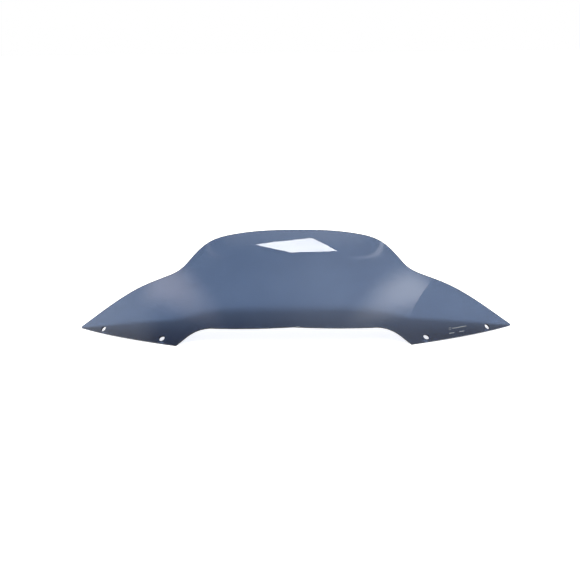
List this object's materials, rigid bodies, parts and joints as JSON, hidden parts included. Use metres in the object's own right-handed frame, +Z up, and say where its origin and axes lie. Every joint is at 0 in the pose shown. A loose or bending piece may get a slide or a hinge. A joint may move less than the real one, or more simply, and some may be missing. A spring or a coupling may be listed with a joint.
{
  "type": "motorcycle windshield screen",
  "caption": "Tinted see-through windshield screen for a touring motorcycle fairing: a raked curved sheet with a raised centre, swept wings, a notch between its feet and fastening holes.",
  "frame": {"origin": "in the plane that the lower edges of the wings stand on, midway across the screen and midway through its depth", "axes": "+X across the screen from its left wing to its right wing as seen from the front, -Y towards the front of the motorcycle, +Z up"},
  "size_m": [0.6208, 0.1367, 0.1398],
  "materials": {
    "smoked_acrylic": "glossy formed and polished smoked acrylic sheet, see-through with a blue-grey tint, flame-polished rim",
    "screen_print_ink": "thin pale grey screen-printing ink, satin"
  },
  "bodies": {
    "root": {"screen": "smoked_acrylic", "printed_mark": "screen_print_ink"}
  },
  "joints": []
}
